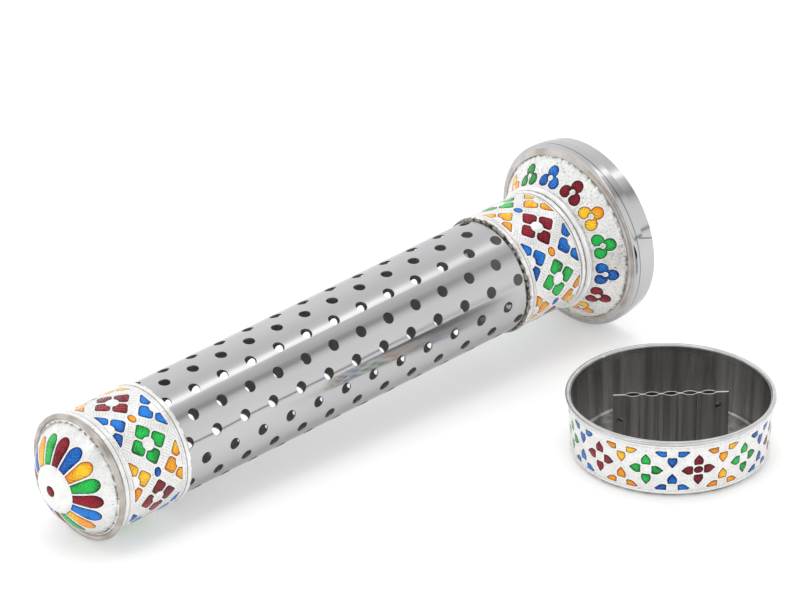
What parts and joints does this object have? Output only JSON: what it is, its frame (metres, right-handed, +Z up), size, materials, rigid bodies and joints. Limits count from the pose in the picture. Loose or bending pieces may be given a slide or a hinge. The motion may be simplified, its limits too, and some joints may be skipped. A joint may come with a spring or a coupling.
{
  "type": "incense stick tower",
  "caption": "Perforated steel incense tower with enamelled bands and dome, lying beside its enamelled ash cup and stick clip.",
  "frame": {"origin": "centre of the cup's flat base, on the table", "axes": "+Z up; +X along the lying tower, from its dome to its foot; the cup is in front of the tower, towards -Y"},
  "size_m": [0.3058, 0.1966, 0.0831],
  "materials": {
    "mirror_steel": "mirror-polished stainless steel",
    "rolled_steel": "dull rolled steel bead",
    "brushed_steel": "drawn and brushed stainless steel with a polished rim",
    "embossed_silver": "bright white-metal sheet, embossed and stippled",
    "enamel_maroon": "translucent gloss enamel",
    "enamel_green": "translucent gloss enamel",
    "enamel_blue": "translucent gloss enamel",
    "enamel_amber": "translucent gloss enamel"
  },
  "bodies": {
    "cup": {"cup_shell": "brushed_steel", "cup_band": "embossed_silver", "clip_front": "brushed_steel", "clip_back": "brushed_steel", "cup_enamel_maroon": "enamel_maroon", "cup_enamel_green": "enamel_green", "cup_enamel_blue": "enamel_blue", "cup_enamel_amber": "enamel_amber"},
    "tower": {"perforated_tube": "mirror_steel", "foot_ring": "mirror_steel", "skirt": "embossed_silver", "collar_bead": "embossed_silver", "lower_band": "embossed_silver", "upper_band": "embossed_silver", "dome_bead": "rolled_steel", "dome_cap": "embossed_silver", "dome_boss": "embossed_silver", "lower_enamel_maroon": "enamel_maroon", "lower_enamel_green": "enamel_green", "lower_enamel_blue": "enamel_blue", "lower_enamel_amber": "enamel_amber", "upper_enamel_maroon": "enamel_maroon", "upper_enamel_green": "enamel_green", "upper_enamel_blue": "enamel_blue", "upper_enamel_amber": "enamel_amber", "skirt_enamel_maroon": "enamel_maroon", "skirt_enamel_green": "enamel_green", "skirt_enamel_blue": "enamel_blue", "skirt_enamel_amber": "enamel_amber", "dome_enamel_maroon": "enamel_maroon", "dome_enamel_green": "enamel_green", "dome_enamel_blue": "enamel_blue", "dome_enamel_amber": "enamel_amber", "boss_enamel_maroon": "enamel_maroon"}
  },
  "joints": [
    {"name": "tower_tip_up", "type": "hinge", "parent": "cup", "child": "tower", "pos_m": [0.06241, 0.1111, 0], "axis": [0, 1, 0], "range_deg": [0, 92.74]}
  ]
}
